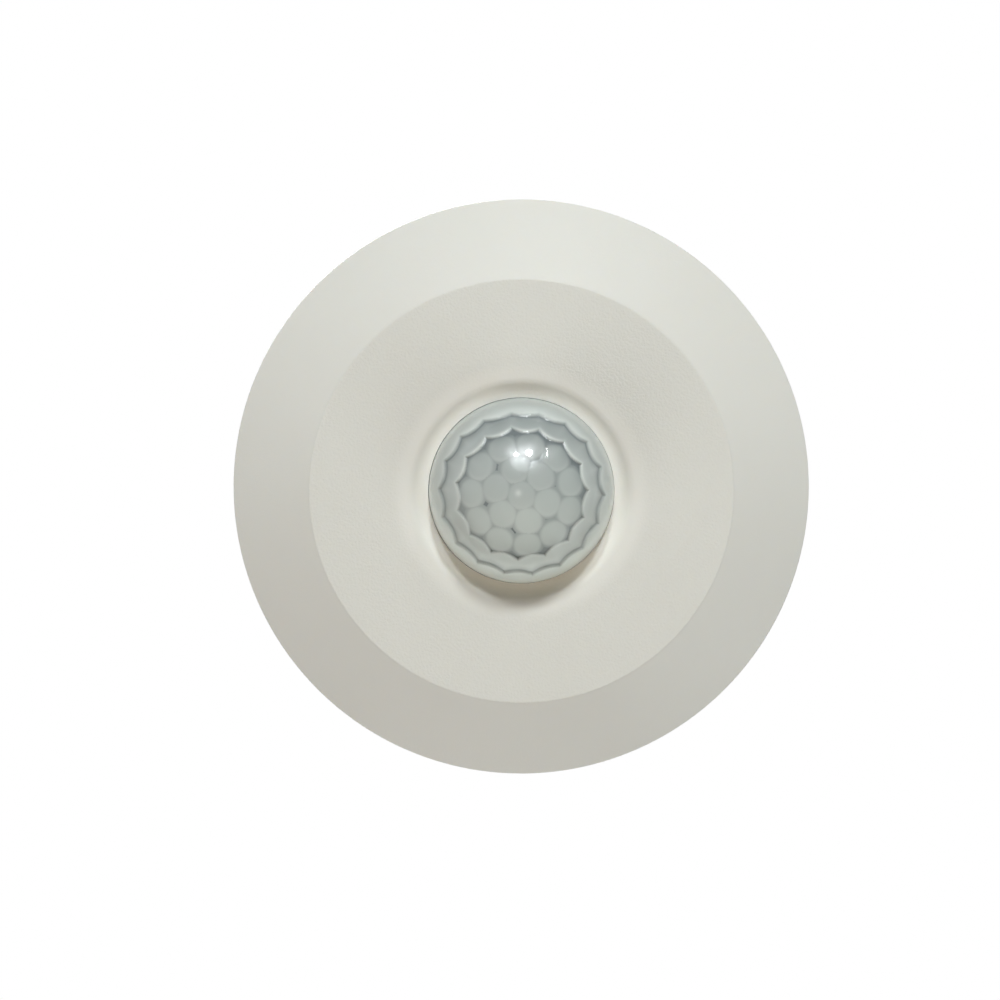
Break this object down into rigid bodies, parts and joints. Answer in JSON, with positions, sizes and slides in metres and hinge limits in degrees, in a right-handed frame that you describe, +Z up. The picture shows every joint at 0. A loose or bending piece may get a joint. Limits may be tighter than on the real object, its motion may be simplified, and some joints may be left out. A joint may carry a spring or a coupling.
{
  "type": "ceiling motion sensor",
  "caption": "Round flush ceiling motion sensor with a bevelled white trim, a milky faceted dome lens, a barrel with sprung clips, inner boards, adjusters and a rear terminal cover.",
  "frame": {"origin": "centre of the barrel in the ceiling plane, where the flange bears on the ceiling", "axes": "+Z up along the barrel's axis into the ceiling void, so the lens looks down along -Z; the clips are on +X and -X, and the cable inlet faces +Y"},
  "size_m": [0.078, 0.078, 0.0623],
  "materials": {
    "trim_white": "satin bevel, fine spark-eroded grain on the disc",
    "lens_milky": "milky polyethylene, smooth outside, faceted inside",
    "body_white": "moulded, fine matt grain",
    "spring_steel": "stamped strip, zinc plated",
    "plated_screws": "zinc plated",
    "pad_black": "soft sleeve",
    "board_green": "solder mask on glass laminate",
    "part_black": "moulded",
    "can_metal": "nickel plated",
    "header_gold": "gold flash",
    "filter_dark": "coated silicon",
    "led_red": "tinted epoxy",
    "cell_brown": "coated ceramic disc",
    "trimmer_blue": "moulded",
    "knob_cream": "moulded",
    "ribbon_grey": "flat cable",
    "socket_cream": "nylon",
    "relay_blue": "moulded case",
    "capacitor_yellow": "epoxy filled box",
    "can_sleeve": "shrink sleeve over an aluminium can",
    "ferrite": "sintered",
    "fuse_cream": "ceramic tube with metal caps",
    "varistor_blue": "dipped epoxy",
    "terminal_cream": "polyamide",
    "cage_brass": "plated brass"
  },
  "bodies": {
    "root": {"lens": "lens_milky", "lens_retainer": "body_white", "front_body": "body_white", "housing": "body_white", "body_screws": "plated_screws", "terminal_cover": "body_white", "cover_screws": "plated_screws", "cable_clamp": "body_white", "clamp_screws": "plated_screws", "clip_pin_left": "spring_steel", "clip_pin_right": "spring_steel", "clip_spring_left": "spring_steel", "clip_spring_right": "spring_steel", "sensor_board": "board_green", "pir_holder": "part_black", "pir_header": "header_gold", "pir_can": "can_metal", "pir_window": "filter_dark", "indicator_led": "led_red", "light_cell": "cell_brown", "trimmer_bodies": "trimmer_blue", "controller_chip": "part_black", "board_resistors": "part_black", "sensor_lead": "ribbon_grey", "lead_sockets": "socket_cream", "power_board": "board_green", "board_screws": "plated_screws", "relay": "relay_blue", "dropper_capacitor": "capacitor_yellow", "smoothing_capacitors": "can_sleeve", "choke": "ferrite", "fuse": "fuse_cream", "varistor": "varistor_blue", "rectifier_diodes": "part_black", "terminal_block": "terminal_cream", "terminal_cages": "cage_brass", "terminal_screws": "plated_screws"},
    "trim": {"bezel": "trim_white"},
    "clip_left": {"clip_arm_left": "spring_steel", "clip_pad_left": "pad_black"},
    "clip_right": {"clip_arm_right": "spring_steel", "clip_pad_right": "pad_black"},
    "time_adjuster": {"time_knob": "knob_cream"},
    "lux_adjuster": {"lux_knob": "knob_cream"},
    "range_adjuster": {"range_knob": "knob_cream"}
  },
  "joints": [
    {"name": "bezel_pull", "type": "slide", "parent": "root", "child": "trim", "axis": [0, 0, -1], "range_m": [0, 0.022]},
    {"name": "clip_left_fold", "type": "hinge", "parent": "root", "child": "clip_left", "pos_m": [-0.0268, 0, 0.023], "axis": [0, 1, 0], "range_deg": [0, 150], "stiffness_Nm_per_rad": 0.03, "springref_deg": -68.75, "deforming": ["clip_spring_left"]},
    {"name": "clip_right_fold", "type": "hinge", "parent": "root", "child": "clip_right", "pos_m": [0.0268, 0, 0.023], "axis": [0, -1, 0], "range_deg": [0, 150], "stiffness_Nm_per_rad": 0.03, "springref_deg": -68.75, "deforming": ["clip_spring_right"]},
    {"name": "time_turn", "type": "hinge", "parent": "root", "child": "time_adjuster", "pos_m": [-0.01025, -0.01775, -0.005], "axis": [0, 0, -1], "range_deg": [-135, 135]},
    {"name": "lux_turn", "type": "hinge", "parent": "root", "child": "lux_adjuster", "pos_m": [0, -0.0205, -0.005], "axis": [0, 0, -1], "range_deg": [-135, 135]},
    {"name": "range_turn", "type": "hinge", "parent": "root", "child": "range_adjuster", "pos_m": [0.01025, -0.01775, -0.005], "axis": [0, 0, -1], "range_deg": [-135, 135]}
  ]
}
